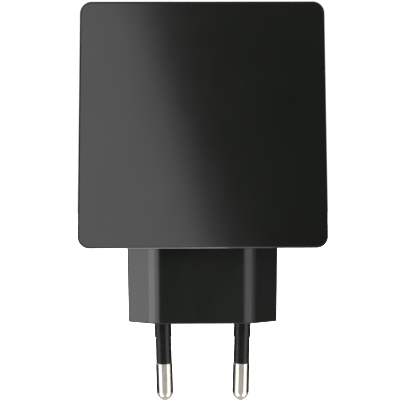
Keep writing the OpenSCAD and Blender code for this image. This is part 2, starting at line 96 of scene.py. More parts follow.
PANEL, PANEL_R = (45.0, 17.0), 2.0
PANEL_LIP, PANEL_LIP_H = (2.6, 2.2), 1.2
PANEL_FACE_Z = CASE_Z1 - 0.25
PANEL_STEP, PANEL_CUT = 0.05, 0.6  # below the roof: the top of the lip, the start of the cutter
EASE, OPENING_FLARE = 0.15, 0.18
LIGHT_HOLE_R, LIGHT_PIPE_R, LIGHT_COLLAR_R, LIGHT_COLLAR_H = 1.1, 1.0, 1.5, 1.0
LIGHT_COLLAR_Z = ROOF_Z - PANEL_LIP_H - 1.05

PORT_X, PORT_GAP = (-15.9, -5.3, 5.3, 15.9), 0.12
SHELL = (5.7, 13.1, 0.6)
SHELL_T, SHELL_Z0, SHELL_Z1 = 0.3, 59.0, 73.9
SHELL_RIM = ((0.02, 0.08), (0.07, 0.02))  # points on the rounded rim: in from the side, down from the top
LIGHT_PIPE_Z0, LIGHT_PIPE_Z1 = SHELL_Z0 + 1.6, PANEL_FACE_Z - 0.05
FINGER_Y, FINGER_W, FINGER_L, FINGER_SLIT = 3.2, 1.8, 4.6, 0.3
FINGER_Z = SHELL_Z1 - 9.2
FOOT, FOOT_Z1 = (2.5, 6.2), SHELL_Z0 + 4.3
PORT_TONGUE_X, PORT_TONGUE_HALF, PORT_TONGUE_Z1 = (0.06, 1.9), 5.75, SHELL_Z1 - 2
PORT_TONGUE_R = 0.2
GROOVE_W, GROOVE_D, GROOVE_END = 1.2, 0.75, 0.35
CONTACT_Y, CONTACT_W, CONTACT_T, CONTACT_EASE = (-3.5, -1, 1, 3.5), 0.95, 0.24, 0.04
CONTACT_Z = (FOOT_Z1 + 0.1, PORT_TONGUE_Z1 - 2.3, PORT_TONGUE_Z1 - 0.6)  # root, bow and end
CONTACT_X = (0.4, -0.13, 0.16)
CONTACT_BEND = (0.9, 0.8)  # how far from the bow the bend begins and ends
TAIL_X, TAIL_HALF, TAIL_FIT = 0.4, (0.15, 0.3), 0.01

# ribs, by their distance from the middle: half width, inner end from the seam's plane, lower and
# upper end
RIBS = {15.0: (1.5, 6.0, FLANGE_TOP + GAP, FLANGE_TOP + 2.0),
        20.5: (0.8, 8.8, ROOF_Z - PANEL_LIP_H - 2.5, ROOF_Z - PANEL_LIP_H - GAP)}
POST_X, POST_Z, POST_R, POST_GAP = 22.8, (26.8, 60.6), (1.3, 1.6), (0.05, 0.02)
BOARD_Y, BOARD_T = 8.6, 1.6
RAIL_X, RAIL_Z, RAIL_HALF_W, RAIL_T, RAIL_END = 24.9, (56.0, 59.05), 1.1, 1.35, -3.0

LABEL = (40.0, 33.0, 2.0)
LABEL_Z = 46.1
LABEL_DEPTH, LABEL_RECESS, LABEL_EASE = 0.3, 0.06, 0.05
FRAME_INSET, FRAME_HALF_W = 1.6, 0.13  # the printed frame, in from the edge of the film
DIVIDER_Z, DIVIDER_HALF_W = 6.5, 0.1  # the printed line, up from the middle of the film

CORNER_STEPS = 24
EDGE_STEPS = 10
SEAM_STEPS = 4
NECK_STEPS = 16
BEND_STEPS = 12
TIP_STEPS = 24
POST_STEPS = 32
PIPE_STEPS = 48
ROUND_STEPS = 96
PAST = 1.0  # how far a cutter reaches past what it cuts

# ---- mesh helpers -------------------------------------------------------------------------------

ON_AXIS = 1e-6  # a radius below this is a point on the axis
EASE_BEND = 0.3  # where an eased edge bends, as a share of its size
FLAT_WEIGHT = 90  # above 50, large faces count more in the normals than the roundings beside them
UPRIGHT = Matrix.Identity(4)
ALONG_Y = Matrix.Rotation(math.radians(-90), 4, "X")


def outline(corners, radii, inset=0.0, steps=CORNER_STEPS):
    """A convex outline that runs anticlockwise, its corners rounded; inset moves every side in."""
    count = len(corners)

    def side(i):
        a, b = corners[i % count], corners[(i + 1) % count]
        return math.atan2(b[1] - a[1], b[0] - a[0]) - math.pi / 2

    points = []
    for i, (x, y) in enumerate(corners):
        start = side(i - 1)
        swing = (side(i) - start) % (2 * math.pi)
        reach = radii[i] / math.cos(swing / 2)
        cx = x - reach * math.cos(start + swing / 2)
        cy = y - reach * math.sin(start + swing / 2)
        for k in range(steps + 1):
            a = start + swing * k / steps
            points.append((cx + (radii[i] - inset) * math.cos(a), cy + (radii[i] - inset) * math.sin(a)))
    return points


def rectangle(width, height, radius, grow=0.0, steps=8):
    w, h, r = width / 2 + grow, height / 2 + grow, radius + grow
    return outline([(w, -h), (w, h), (-w, h), (-w, -h)], [r] * 4, steps=steps)


def case_outline(inset):
    b, t = CASE_W / 2, CASE_W_TOP / 2
    corners = [(b, CASE_Z0), (t, CASE_Z1), (-t, CASE_Z1), (-b, CASE_Z0)]
    return outline(corners, [CORNER_R] * 4, inset)


def neck_outline(grow=0.0, inset=0.0, big_r=NECK_ROUND, small_r=NECK_SIDE_R):
    f, h = NECK_FLAT + grow * NECK_CORNER_SHIFT[0], NECK_T / 2 + grow
    w, s = NECK_W / 2 + grow, NECK_SIDE + grow * NECK_CORNER_SHIFT[1]
    corners = [(-f, -h), (f, -h), (w, -s), (w, s), (f, h), (-f, h), (-w, s), (-w, -s)]
    return outline(corners, [big_r, big_r, small_r, small_r] * 2, inset, NECK_STEPS)


def put(name, bm):
    """The bmesh becomes an object, with outward normals."""
    bmesh.ops.recalc_face_normals(bm, faces=bm.faces)
    mesh = bpy.data.meshes.new(name)
    bm.to_mesh(mesh)
    bm.free()
    piece = bpy.data.objects.new(name, mesh)
    scene.collection.objects.link(piece)
    return piece


def skin(name, rings, closed=False):
    """A body through rings of points, all with the same count, in millimetres.

    Its first and last rings are capped, or joined to each other if it is closed.
    """
    bm = bmesh.new()
    rows = [[bm.verts.new(Vector(p) * MM) for p in ring] for ring in rings]
    count = len(rows[0])
    for a, b in zip(rows, rows[1:] + rows[:1] if closed else rows[1:]):
        for i in range(count):
            j = (i + 1) % count
            bm.faces.new((a[i], a[j], b[j], b[i]))
    if not closed:
        bm.faces.new(rows[0])
        bm.faces.new(list(reversed(rows[-1])))
    return put(name, bm)


def loft(name, levels):
    """A body along Z through levels, which are (z, outline) pairs."""
    return skin(name, [[(x, y, z) for x, y in ring] for z, ring in levels])


def prism(name, points, heights):
    """A body along Z with one outline."""
    return loft(name, [(z, points) for z in heights])


def revolve(name, profile, place, closed=False, steps=ROUND_STEPS):
    """A body of rotation about its own Z; profile is (radius, height) pairs, in millimetres."""
    bm = bmesh.new()
    angles = [2 * math.pi * k / steps for k in range(steps)]
    rows = []
    for r, z in profile:
        ring = [(r * math.cos(a), r * math.sin(a), z) for a in angles] if r > ON_AXIS else [(0, 0, z)]
        rows.append([bm.verts.new(Vector(p) * MM) for p in ring])
    pairs = list(zip(rows, rows[1:]))
    if closed:
        pairs.append((rows[-1], rows[0]))
    for a, b in pairs:
        for k in range(steps):
            j = (k + 1) % steps
            if len(a) == 1:
                bm.faces.new((a[0], b[j], b[k]))
            elif len(b) == 1:
                bm.faces.new((a[k], a[j], b[0]))
            else:
                bm.faces.new((a[k], a[j], b[j], b[k]))
    piece = put(name, bm)
    piece.data.transform(place)
    return piece


def box(name, low, high):
    (x0, y0, z0), (x1, y1, z1) = low, high
    return prism(name, [(x1, y0), (x1, y1), (x0, y1), (x0, y0)], (z0, z1))


def combine(piece, others, operation="DIFFERENCE"):
    """Applies an exact boolean with each of the others, which then go."""
    for other in others:
        cut = piece.modifiers.new("cut", "BOOLEAN")
        cut.operation = operation
        cut.solver = "EXACT"
        cut.object = other
    graph = bpy.context.evaluated_depsgraph_get()
    mesh = bpy.data.meshes.new_from_object(piece.evaluated_get(graph))
    piece.modifiers.clear()
    piece.data = mesh
    for other in others:
        bpy.data.objects.remove(other)


def join(name, pieces):
    """One piece from several that don't touch."""
    bm = bmesh.new()
    for piece in pieces:
        bm.from_mesh(piece.data)
        bpy.data.objects.remove(piece)
    return put(name, bm)


def shade(piece, sharp=30.0):
    """Smooth shading that keeps real edges, with flat faces that stay flat up to their roundings."""
    mesh = piece.data
    for face in mesh.polygons:
        face.use_smooth = True
    mesh.set_sharp_from_angle(angle=math.radians(sharp))
    weighted = piece.modifiers.new("normals", "WEIGHTED_NORMAL")
    weighted.keep_sharp = True
    weighted.weight = FLAT_WEIGHT
    return piece


def arc(centre, r, start, stop, steps=EDGE_STEPS):
    """Points on an arc, angles in degrees."""
    angles = [math.radians(start + (stop - start) * k / steps) for k in range(steps + 1)]
    return [(centre[0] + r * math.cos(a), centre[1] + r * math.sin(a)) for a in angles]


def quarter_turn(steps):
    """Angles of a quarter turn, in radians."""
    return [math.radians(90 * k / steps) for k in range(steps + 1)]


def rounded_edge(r):
    """The rounding between a flat face and the sides, as (inset, depth behind the face) pairs."""
    return [(r * (1 - math.sin(a)), r * (1 - math.cos(a))) for a in quarter_turn(EDGE_STEPS)]


def eased(top, ease):
    """The last levels of a body with an eased upper edge, as (height, growth of the outline) pairs."""
    part = EASE_BEND * ease
    return [(top - ease, 0.0), (top - part, -part), (top, -ease)]


def at_pin(side):
    """The leaning frame of a pin, with its origin in the plug face."""
    lean = Matrix.Rotation(math.radians(side * PIN_LEAN), 4, "Y")
    return Matrix.Translation((side * PIN_PITCH / 2 * MM, 0, 0)) @ lean


# ---- materials ----------------------------------------------------------------------------------

PLASTIC_IOR = 1.5
TURN_SCALE = 0.314  # a wave texture of this scale makes one turn in a unit


class Nodes:
    """A material's node tree, with short calls to add to it."""

    def __init__(self, name):
        self.material = bpy.data.materials.new(name)
        self.material.use_nodes = True
        self.tree = self.material.node_tree
        self.shader = self.tree.nodes["Principled BSDF"]
        self.place = self.add("ShaderNodeTexCoord").outputs["Object"]

    def add(self, kind, **settings):
        made = self.tree.nodes.new(kind)
        for key, value in settings.items():
            if hasattr(made, key):
                setattr(made, key, value)
            else:
                made.inputs[key.replace("_", " ")].default_value = value
        return made

    def link(self, a, b):
        self.tree.links.new(a, b)

    def mapped(self, scale):
        """Object coordinates in millimetres, stretched by scale."""
        mapping = self.add("ShaderNodeMapping", Scale=tuple(s / MM for s in scale))
        self.link(self.place, mapping.inputs["Vector"])
        return mapping.outputs["Vector"]

    def noise(self, scale, detail=3.0, distortion=0.0, stretch=(1, 1, 1)):
        """Noise with scale cells per millimetre."""
        made = self.add("ShaderNodeTexNoise", Scale=scale, Detail=detail, Distortion=distortion)
        self.link(self.mapped(stretch), made.inputs["Vector"])
        return made.outputs["Fac"]

    def ramp(self, value, stops):
        made = self.add("ShaderNodeValToRGB")
        elements = made.color_ramp.elements
        while len(elements) < len(stops):
            elements.new(0.5)
        for element, (position, colour) in zip(elements, stops):
            element.position = position
            element.color = (*colour, 1)
        self.link(value, made.inputs["Fac"])
        return made.outputs["Color"]

    def ranged(self, value, low, high, start=0.3, stop=0.7):
        made = self.add("ShaderNodeMapRange", From_Min=start, From_Max=stop, To_Min=low, To_Max=high)
        self.link(value, made.inputs["Value"])
        return made.outputs["Result"]

    def maths(self, operation, a, b):
        made = self.add("ShaderNodeMath", operation=operation)
        for socket, value in zip(made.inputs, (a, b)):
            if isinstance(value, float):
                socket.default_value = value
            else:
                self.link(value, socket)
        return made.outputs[0]

    def bump(self, value, height, under=None):
        """Bump of a height in millimetres."""
        made = self.add("ShaderNodeBump", Strength=1.0, Distance=height * MM)
        self.link(value, made.inputs["Height"])
        if under is not None:
            self.link(under, made.inputs["Normal"])
        return made.outputs["Normal"]


def surface(name, dark, light, rough, grain, mottle=0.15, metal=0.0, stretch=(1, 1, 1)):
    """The common recipe: mottled colour, roughness that varies where it was touched, and a grain.

    dark and light are the two ends of the colour, rough the two ends of the roughness,
    grain is (cells per millimetre, height in millimetres), mottle is in cells per millimetre
    and stretch draws the grain out along the axes where it is small.
    """
    n = Nodes(name)
    colour = n.ramp(n.noise(mottle, detail=4.0, distortion=0.4), [(0.32, dark), (0.68, light)])
    n.link(colour, n.shader.inputs["Base Color"])
    touched = n.noise(mottle * 2.3, detail=5.0, distortion=1.2)
    n.link(n.ranged(touched, *rough), n.shader.inputs["Roughness"])
    n.link(n.bump(n.noise(grain[0], detail=2.0, stretch=stretch), grain[1]), n.shader.inputs["Normal"])
    n.shader.inputs["Metallic"].default_value = metal
    n.shader.inputs["IOR"].default_value = PLASTIC_IOR
    return n.material


def case_plastic(name, dark, light, rough):
    """Moulded black plastic: a very fine spark grain, faint flow marks, rubbed and fingered patches."""
    n = Nodes(name)
    colour = n.ramp(n.noise(0.06, detail=4.0, distortion=0.6), [(0.3, dark), (0.7, light)])
    n.link(colour, n.shader.inputs["Base Color"])
    smears = n.noise(0.09, detail=6.0, distortion=1.6, stretch=(1, 1, 0.6))
    specks = n.noise(1.3)
    base = n.ranged(smears, rough[0], rough[1], 0.35, 0.7)
    n.link(n.maths("ADD", base, n.ranged(specks, -0.012, 0.012)), n.shader.inputs["Roughness"])
    flow = n.bump(n.noise(0.035, detail=1.0, distortion=0.3), 0.012)
    n.link(n.bump(n.noise(7.0), 0.0007, flow), n.shader.inputs["Normal"])
    n.shader.inputs["IOR"].default_value = PLASTIC_IOR
    return n.material


def pin_metal(name):
    """Turned and plated metal: fine rings round the pin, faint rubbing along it from a socket."""
    n = Nodes(name)
    tone = n.noise(0.5, detail=4.0, distortion=0.6, stretch=(1, 1, 0.4))
    colour = n.ramp(tone, [(0.3, (0.60, 0.57, 0.50)), (0.7, (0.72, 0.70, 0.64))])
    n.link(colour, n.shader.inputs["Base Color"])
    rings = n.noise(9.0, stretch=(0.02, 0.02, 1))
    rubs = n.noise(3.5, stretch=(1, 1, 0.05))
    rough = n.maths("ADD", n.ranged(rubs, 0.13, 0.24), n.ranged(rings, -0.02, 0.03))
    n.link(rough, n.shader.inputs["Roughness"])
    n.link(n.bump(rubs, 0.0006, n.bump(rings, 0.0012)), n.shader.inputs["Normal"])
    n.shader.inputs["Metallic"].default_value = 1.0
    return n.material


def board_green(name):
    """Solder mask over copper: two greens where tracks run below, a fine weave of the glass cloth."""
    n = Nodes(name)
    tracks = n.add("ShaderNodeTexVoronoi", feature="DISTANCE_TO_EDGE", Scale=0.35)
    n.link(n.mapped((1, 1, 1)), tracks.inputs["Vector"])
    colour = n.ramp(tracks.outputs["Distance"], [
        (0.10, (0.012, 0.10, 0.035)), (0.14, (0.006, 0.055, 0.02)), (0.6, (0.008, 0.07, 0.025))])
    n.link(colour, n.shader.inputs["Base Color"])
    n.link(n.ranged(n.noise(1.5), 0.28, 0.42), n.shader.inputs["Roughness"])
    weave = n.bump(n.noise(2.2, detail=1.0, stretch=(1, 0.2, 1)), 0.01)
    n.link(n.bump(tracks.outputs["Distance"], 0.02, weave), n.shader.inputs["Normal"])
    return n.material


def wound(name, dark, light, turn, along):
    """Enamelled wire or tape in close turns of a given width in millimetres."""
    n = Nodes(name)
    turns = n.add("ShaderNodeTexWave", bands_direction=along,
                  Scale=TURN_SCALE / turn, Distortion=0.6, Detail=1.0)
    n.link(n.mapped((1, 1, 1)), turns.inputs["Vector"])
    # the colour follows the turns, darker where the bump sinks between them: painted shade in the grooves
    # between turns
    n.link(n.ramp(turns.outputs["Fac"], [(0.1, dark), (0.8, light)]), n.shader.inputs["Base Color"])
    n.link(n.ranged(n.noise(1.0), 0.25, 0.4), n.shader.inputs["Roughness"])
    n.link(n.bump(turns.outputs["Fac"], 0.08), n.shader.inputs["Normal"])
    return n.material


def label_film(name):
    """Matt grey film with an empty printed frame and one divider; no text."""
    n = Nodes(name)
    split = n.add("ShaderNodeSeparateXYZ")
    n.link(n.mapped((1, 1, 1)), split.inputs["Vector"])
    x = n.maths("ABSOLUTE", split.outputs["X"], 0.0)
    z_middle = n.maths("SUBTRACT", split.outputs["Z"], LABEL_Z)
    z = n.maths("ABSOLUTE", z_middle, 0.0)
    # the frame is a line at one distance from the edge of the film
    edge = n.maths("MINIMUM", n.maths("SUBTRACT", LABEL[0] / 2, x), n.maths("SUBTRACT", LABEL[1] / 2, z))
    line = n.maths("COMPARE", edge, FRAME_INSET)
    line.node.inputs[2].default_value = FRAME_HALF_W
    divider = n.maths("COMPARE", z_middle, DIVIDER_Z)
    divider.node.inputs[2].default_value = DIVIDER_HALF_W
    inside = n.maths("GREATER_THAN", edge, FRAME_INSET)
    printed = n.maths("MAXIMUM", line, n.maths("MULTIPLY", divider, inside))
    film = n.ramp(n.noise(0.4, detail=5.0), [(0.3, (0.030, 0.031, 0.032)), (0.7, (0.036, 0.037, 0.038))])
    mix = n.add("ShaderNodeMix", data_type="RGBA")
    n.link(printed, mix.inputs["Factor"])
    n.link(film, mix.inputs[6])
    mix.inputs[7].default_value = (0.30, 0.30, 0.30, 1)
    n.link(mix.outputs[2], n.shader.inputs["Base Color"])
    n.link(n.ranged(n.noise(0.5, detail=4.0), 0.42, 0.55), n.shader.inputs["Roughness"])
    n.link(n.bump(n.noise(2.5, detail=4.0), 0.004), n.shader.inputs["Normal"])
    return n.material


BLACK = ((0.0112, 0.0128, 0.0108), (0.0138, 0.0156, 0.0131))
# the case black darkened by about a quarter for the neck: painted shade against the diffuse light of the
# neck's own lamps
NECK_PAINTED_SHADE_BLACK = ((0.0080, 0.0092, 0.0077), (0.0098, 0.0111, 0.0094))

# what surface() is given: dark, light, rough, grain, and where it differs mottle, metal and stretch
SURFACES = {
    "panel_plastic": ((0.010, 0.010, 0.011), (0.014, 0.014, 0.015), (0.36, 0.5), (4.0, 0.004)),
    "sleeve_plastic": (*BLACK, (0.24, 0.34), (5.0, 0.001), 0.4),
    "spring_brass": ((0.72, 0.49, 0.17), (0.86, 0.64, 0.28), (0.24, 0.36), (6, 0.002), 0.8, 1.0),
    "light_pipe": ((0.70, 0.72, 0.74), (0.82, 0.84, 0.86), (0.25, 0.4), (3, 0.003), 0.8),
    "retainer_plastic": ((0.55, 0.52, 0.42), (0.66, 0.63, 0.54), (0.4, 0.55), (3, 0.004)),
    "solder_tin": ((0.55, 0.56, 0.58), (0.75, 0.76, 0.78), (0.18, 0.4), (2, 0.01), 0.7, 1.0),
    "shell_steel": ((0.52, 0.53, 0.55), (0.66, 0.67, 0.69), (0.24, 0.36), (5, 0.0015), 0.5, 1.0,
                    (1, 1, 0.06)),
    "insulator_white": ((0.70, 0.70, 0.67), (0.80, 0.80, 0.78), (0.38, 0.5), (3, 0.003), 0.4),
    "epoxy_black": ((0.016, 0.016, 0.017), (0.026, 0.026, 0.027), (0.45, 0.6), (3, 0.008), 0.5),
    "epoxy_blue": ((0.01, 0.05, 0.20), (0.02, 0.08, 0.28), (0.3, 0.45), (1.5, 0.02), 0.4),
    "film_yellow": ((0.62, 0.44, 0.05), (0.74, 0.54, 0.08), (0.3, 0.42), (2, 0.006), 0.3),
    "ferrite": ((0.024, 0.024, 0.026), (0.042, 0.042, 0.045), (0.5, 0.7), (2.5, 0.02), 0.4),
    "core_green": ((0.02, 0.09, 0.035), (0.03, 0.12, 0.05), (0.35, 0.5), (1.5, 0.02), 0.4),
    "can_sleeve": ((0.012, 0.014, 0.022), (0.02, 0.024, 0.034), (0.25, 0.38), (1.2, 0.01), 0.3),
    "can_aluminium": ((0.62, 0.63, 0.65), (0.74, 0.75, 0.77), (0.28, 0.4), (4, 0.003), 0.5, 1.0),
    "barrier_sheet": ((0.66, 0.62, 0.48), (0.76, 0.72, 0.58), (0.4, 0.55), (1.5, 0.01), 0.2),
    "opto_white": ((0.68, 0.67, 0.60), (0.78, 0.77, 0.71), (0.45, 0.6), (3, 0.006), 0.4),
    "led_package": ((0.76, 0.76, 0.70), (0.86, 0.86, 0.80), (0.3, 0.45), (3, 0.004), 0.6),
}
LOOKS = {name: surface(name, *recipe) for name, recipe in SURFACES.items()}
LOOKS["case_plastic"] = case_plastic("case_plastic", *BLACK, (0.12, 0.138))
LOOKS["pin_metal"] = pin_metal("pin_metal")
LOOKS["label_film"] = label_film("label_film")
LOOKS["board_green"] = board_green("board_green")
LOOKS["copper_wire"] = wound("copper_wire", (0.30, 0.10, 0.03), (0.66, 0.28, 0.09), 0.6, "Z")
# the transformer is wrapped in yellow tape, and the neck is moulded less glossy than the covers; its black is
# a darker copy of theirs, painted shade that takes back the diffuse light its own lamps add
WINDING = wound("winding_tape", (0.50, 0.36, 0.05), (0.78, 0.60, 0.12), 1.2, "X")
NECK = case_plastic("neck_plastic", *NECK_PAINTED_SHADE_BLACK, (0.19, 0.23))

for part in frame["record"]["subparts"]:
    look = WINDING if part["node"] == "transformer_winding" else LOOKS[part["material_slot"]]
    mesh = frame["nodes"][part["node"]].data
    mesh.materials.clear()
    mesh.materials.append(look)


def fit(piece, body, slot, *nodes, look=None):
    """The finished piece gets its slot's look or its own, rides on its body and stands for its CAD nodes."""
    piece.data.materials.clear()
    piece.data.materials.append(look or LOOKS[slot])
    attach(piece, body)
    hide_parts(*nodes)


# ---- covers -------------------------------------------------------------------------------------


def panel_opening():
    """The cutter for the panel's opening, flared at the outside to break the edge."""
    def level(z, grow=0.0):
        return z, rectangle(*PANEL, PANEL_R, GAP + grow)

    return loft("cut_panel", [level(ROOF_Z - PANEL_CUT), level(CASE_Z1 - OPENING_FLARE),
                              level(CASE_Z1, OPENING_FLARE), level(CASE_Z1 + PAST, OPENING_FLARE)])


def neck_opening():
    return prism("cut_neck", neck_outline(NECK_DRAFT + GAP), (CASE_Z0 - PAST, CASE_Z0 + WALL + PAST / 2))


def shell(name, inner, sign):
    """A cover's shell, from its face round to the inner wall, through (inset, depth behind its face) pairs.

    inner holds the pairs of the tongue or rebate at the seam.
    """
    seam_y = BACK_Y - SEAM_HALF
    seam_edge = [(SEAM_EASE * (1 - math.cos(a)), seam_y - SEAM_EASE * (1 - math.sin(a)))
                 for a in quarter_turn(SEAM_STEPS)]
    outside = rounded_edge(EDGE_R) + seam_edge + [(SEAM_INSET, seam_y), (SEAM_INSET, BACK_Y)]
    rings = []
    for inset, depth in outside + inner + [(WALL, WALL)]:
        y = sign * (BACK_Y - depth)
        rings.append([(x, y, z) for x, z in case_outline(inset)])
    return skin(name, rings)


def inner_parts(sign, post_r, post_end):
    """Ribs that trap the plug's flange and the panel, and pillars to the board, on one side."""
    root = sign * (BACK_Y - WALL + ROOT_DEPTH)
    parts = []
    for side in (-1, 1):
        for x, (half_w, end, z0, z1) in RIBS.items():
            near, far = sorted((root, sign * end))
            parts.append(box("rib", (side * x - half_w, near, z0), (side * x + half_w, far, z1)))
        near, far = sorted((root, post_end))
        length = far - near
        for z in POST_Z:
            place = Matrix.Translation(Vector((side * POST_X, near, z)) * MM) @ ALONG_Y
            parts.append(revolve("pillar", [(0, 0), (post_r, 0), (post_r, length), (0, length)], place,
                                 steps=POST_STEPS))
    return parts


def front_cover():
    rebate = WALL - TONGUE_T - GAP
    floor_y = BACK_Y - TONGUE_H - GAP
    cover = shell("front_shell", [(rebate, BACK_Y), (rebate, floor_y), (WALL, floor_y)], -1)
    combine(cover, [neck_opening(), panel_opening()])
    rail_y = FRONT_Y + WALL - ROOT_DEPTH
    rails = [box("rail", (x - RAIL_HALF_W, rail_y, z), (x + RAIL_HALF_W, RAIL_END, z + RAIL_T))
             for x in (-RAIL_X, RAIL_X) for z in RAIL_Z]
    combine(cover, inner_parts(-1, POST_R[0], BOARD_Y - POST_GAP[0]) + rails, "UNION")
    fit(shade(cover), "charger", "case_plastic", "front_cover")


def rear_cover():
    tongue = WALL - TONGUE_T
    end_y = BACK_Y + TONGUE_H
    cover = shell("rear_shell", [(tongue, BACK_Y), (tongue, end_y), (WALL, end_y)], 1)
    pocket = skin("cut_pocket", [[(x, y, z + LABEL_Z) for x, z in rectangle(*LABEL, GAP)]
                                 for y in (BACK_Y - LABEL_DEPTH, BACK_Y + PAST)])
    combine(cover, [neck_opening(), panel_opening(), pocket])
    combine(cover, inner_parts(1, POST_R[1], BOARD_Y + BOARD_T + POST_GAP[1]), "UNION")
    fit(shade(cover), "charger", "case_plastic", "rear_cover")


def rating_label():
    """The label, with softly cut edges."""
    rings = []
    for y, grow in [(BACK_Y - LABEL_DEPTH, 0.0)] + eased(BACK_Y - LABEL_RECESS, LABEL_EASE):
        rings.append([(x, y, z + LABEL_Z) for x, z in rectangle(*LABEL, grow)])
    fit(shade(skin("label", rings)), "charger", "label_film", "rating_label")


# ---- port panel and ports -----------------------------------------------------------------------


def port_panel():
    w, d = PANEL
    lip = rectangle(w + PANEL_LIP[0], d + PANEL_LIP[1], PANEL_R)
    step_z = ROOF_Z - PANEL_STEP
    levels = [(ROOF_Z - PANEL_LIP_H, lip), (step_z, lip), (step_z, rectangle(w, d, PANEL_R))]
    levels += [(z, rectangle(w, d, PANEL_R, grow)) for z, grow in eased(PANEL_FACE_Z, EASE)]
    panel = loft("panel", levels)
    below = ROOF_Z - PANEL_LIP_H - PAST
    holes = []
    for x in PORT_X:
        hole, flared = [[(px + x, py) for px, py in rectangle(*SHELL, PORT_GAP + grow)]
                        for grow in (0.0, OPENING_FLARE)]
        holes.append(loft("cut_port", [(below, hole), (PANEL_FACE_Z - OPENING_FLARE, hole),
                                       (PANEL_FACE_Z, flared), (PANEL_FACE_Z + PAST, flared)]))
    light = [(0, below), (LIGHT_HOLE_R, below), (LIGHT_HOLE_R, CASE_Z1), (0, CASE_Z1)]
    holes.append(revolve("cut_light", light, UPRIGHT))
    combine(panel, holes)
    fit(shade(panel), "charger", "panel_plastic", "port_panel")


def light_pipe():
    """The clear rod from the status light, with a collar below the panel and a rounded end."""
    collar_top = LIGHT_COLLAR_Z + LIGHT_COLLAR_H
    rim = arc((LIGHT_PIPE_R - EASE, LIGHT_PIPE_Z1 - EASE), EASE, 0, 90, 5)
    pipe = revolve("light_window", [
        (0, LIGHT_PIPE_Z0), (LIGHT_PIPE_R, LIGHT_PIPE_Z0), (LIGHT_PIPE_R, LIGHT_COLLAR_Z),
        (LIGHT_COLLAR_R, LIGHT_COLLAR_Z), (LIGHT_COLLAR_R, collar_top), (LIGHT_PIPE_R, collar_top),
        *rim, (0, LIGHT_PIPE_Z1)], UPRIGHT, steps=PIPE_STEPS)
    fit(shade(pipe), "charger", "light_pipe", "light_pipe")


def port_shell(k, x):
    """The folded steel tube: outside up, over a rounded rim, inside down, with two sprung fingers a side."""
    rising = [(0.0, SHELL_Z0), (0.0, SHELL_Z1 - SHELL_T / 2)]
    rising += [(-inset, SHELL_Z1 - down) for inset, down in SHELL_RIM]
    falling = [(-SHELL_T - grow, z) for grow, z in reversed(rising)]
    rings = []
    for grow, z in rising + [(-SHELL_T / 2, SHELL_Z1)] + falling:
        rings.append([(px + x, py, z) for px, py in rectangle(*SHELL, grow)])
    tube = skin(f"port_shell_{k}", rings, closed=True)
    x0, x1 = x - SHELL[0], x + SHELL[0]
    half_slit = FINGER_SLIT / 2
    slits = []
    for y in (-FINGER_Y, FINGER_Y):
        for edge in (y - FINGER_W / 2, y + FINGER_W / 2):
            slits.append(box("cut_slit", (x0, edge - half_slit, FINGER_Z),
                             (x1, edge + half_slit, FINGER_Z + FINGER_L)))
        slits.append(box("cut_slit", (x0, y - FINGER_W / 2, FINGER_Z),
                         (x1, y + FINGER_W / 2, FINGER_Z + FINGER_SLIT)))
    combine(tube, slits)
    fit(shade(tube), "charger", "shell_steel", f"usb_shell_{k}")


def port_tongue(k, x):
    """The moulded foot and tongue, with a groove for each contact and a hole for its tail."""
    face, back = PORT_TONGUE_X

    def outline_at(grow):
        sides = rectangle(back - face, 2 * PORT_TONGUE_HALF, PORT_TONGUE_R, grow, steps=6)
        return [(px + x + (face + back) / 2, py) for px, py in sides]

    levels = [(FOOT_Z1 - PAST, outline_at(0.0))]
    levels += [(z, outline_at(grow)) for z, grow in eased(PORT_TONGUE_Z1, EASE)]
    tongue = loft(f"port_tongue_{k}", levels)
    foot = box("foot", (x - FOOT[0], -FOOT[1], SHELL_Z0), (x + FOOT[0], FOOT[1], FOOT_Z1))
    combine(tongue, [foot], "UNION")
    tail_w, tail_d = [size + TAIL_FIT for size in TAIL_HALF]
    cuts = []
    for y in CONTACT_Y:
        cuts.append(box("cut_groove", (x - PAST, y - GROOVE_W / 2, FOOT_Z1),
                        (x + face + GROOVE_D, y + GROOVE_W / 2, PORT_TONGUE_Z1 - GROOVE_END)))
        cuts.append(box("cut_tail", (x + TAIL_X - tail_w, y - tail_d, SHELL_Z0 - PAST),
                        (x + TAIL_X + tail_w, y + tail_d, FOOT_Z1 + PAST)))
    combine(tongue, cuts)
    fit(shade(tongue), "charger", "insulator_white", f"usb_insulator_{k}")


def port_contacts(k, x):
    """The sprung contacts: bent round at the bow, their edges eased."""
    root, bow, end = [Vector(point) for point in zip(CONTACT_X, CONTACT_Z)]
    bend_in = bow + (root - bow).normalized() * CONTACT_BEND[0]
    bend_out = bow + (end - bow).normalized() * CONTACT_BEND[1]
    line = [root]
    for t in [i / BEND_STEPS for i in range(BEND_STEPS + 1)]:
        line.append(bend_in * (1 - t) ** 2 + bow * 2 * t * (1 - t) + bend_out * t ** 2)
    line.append(end)
    half_w = CONTACT_W / 2
    beams = []
    for y in CONTACT_Y:
        rings = []
        for across, thinner in ((-half_w, CONTACT_EASE), (-half_w + CONTACT_EASE, 0),
                                (half_w - CONTACT_EASE, 0), (half_w, CONTACT_EASE)):
            half_t = CONTACT_T / 2 - thinner
            rings.append([(x + px - half_t, y + across, pz) for px, pz in line]
                         + [(x + px + half_t, y + across, pz) for px, pz in reversed(line)])
        beams.append(skin("beam", rings))
    fit(shade(join(f"port_contacts_{k}", beams)), f"contacts_{k}", "spring_brass", f"usb_contacts_{k}")


# ---- plug ---------------------------------------------------------------------------------------


